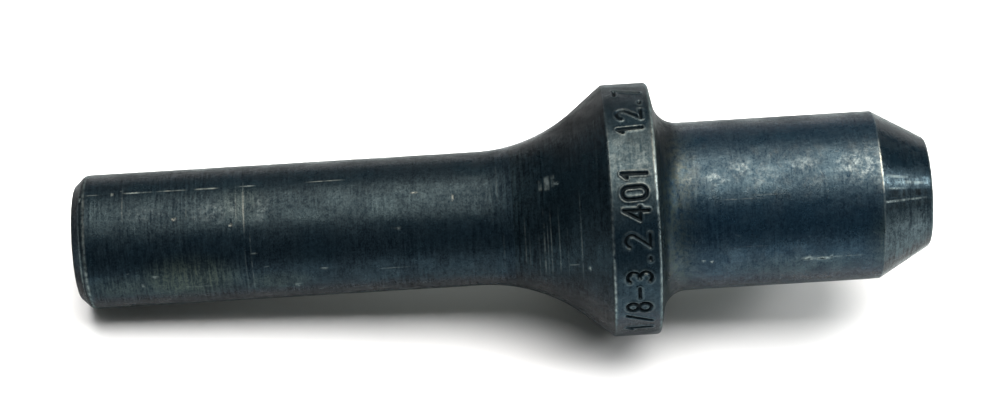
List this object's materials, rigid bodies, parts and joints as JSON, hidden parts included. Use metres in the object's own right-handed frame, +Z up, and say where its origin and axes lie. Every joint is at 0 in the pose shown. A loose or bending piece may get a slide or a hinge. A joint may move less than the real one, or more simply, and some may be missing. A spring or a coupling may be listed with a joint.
{
  "type": "rivet setter",
  "caption": "One-piece turned steel rivet set for a pneumatic hammer: straight shank, flared retaining flange, cylindrical head and coned nose with a shallow cup.",
  "frame": {"origin": "centre of the struck end face, the flat end of the shank that the hammer's piston hits", "axes": "+X along the turning axis, from the struck end towards the cup; +Z up with the axis level; the stamped numbers are centred 32 degrees from +Z towards -Y"},
  "size_m": [0.0642, 0.019, 0.019],
  "materials": {
    "black_oxide_steel": "worn satin black oxide over turned steel"
  },
  "bodies": {
    "root": {"rivet_set": "black_oxide_steel"}
  },
  "joints": []
}
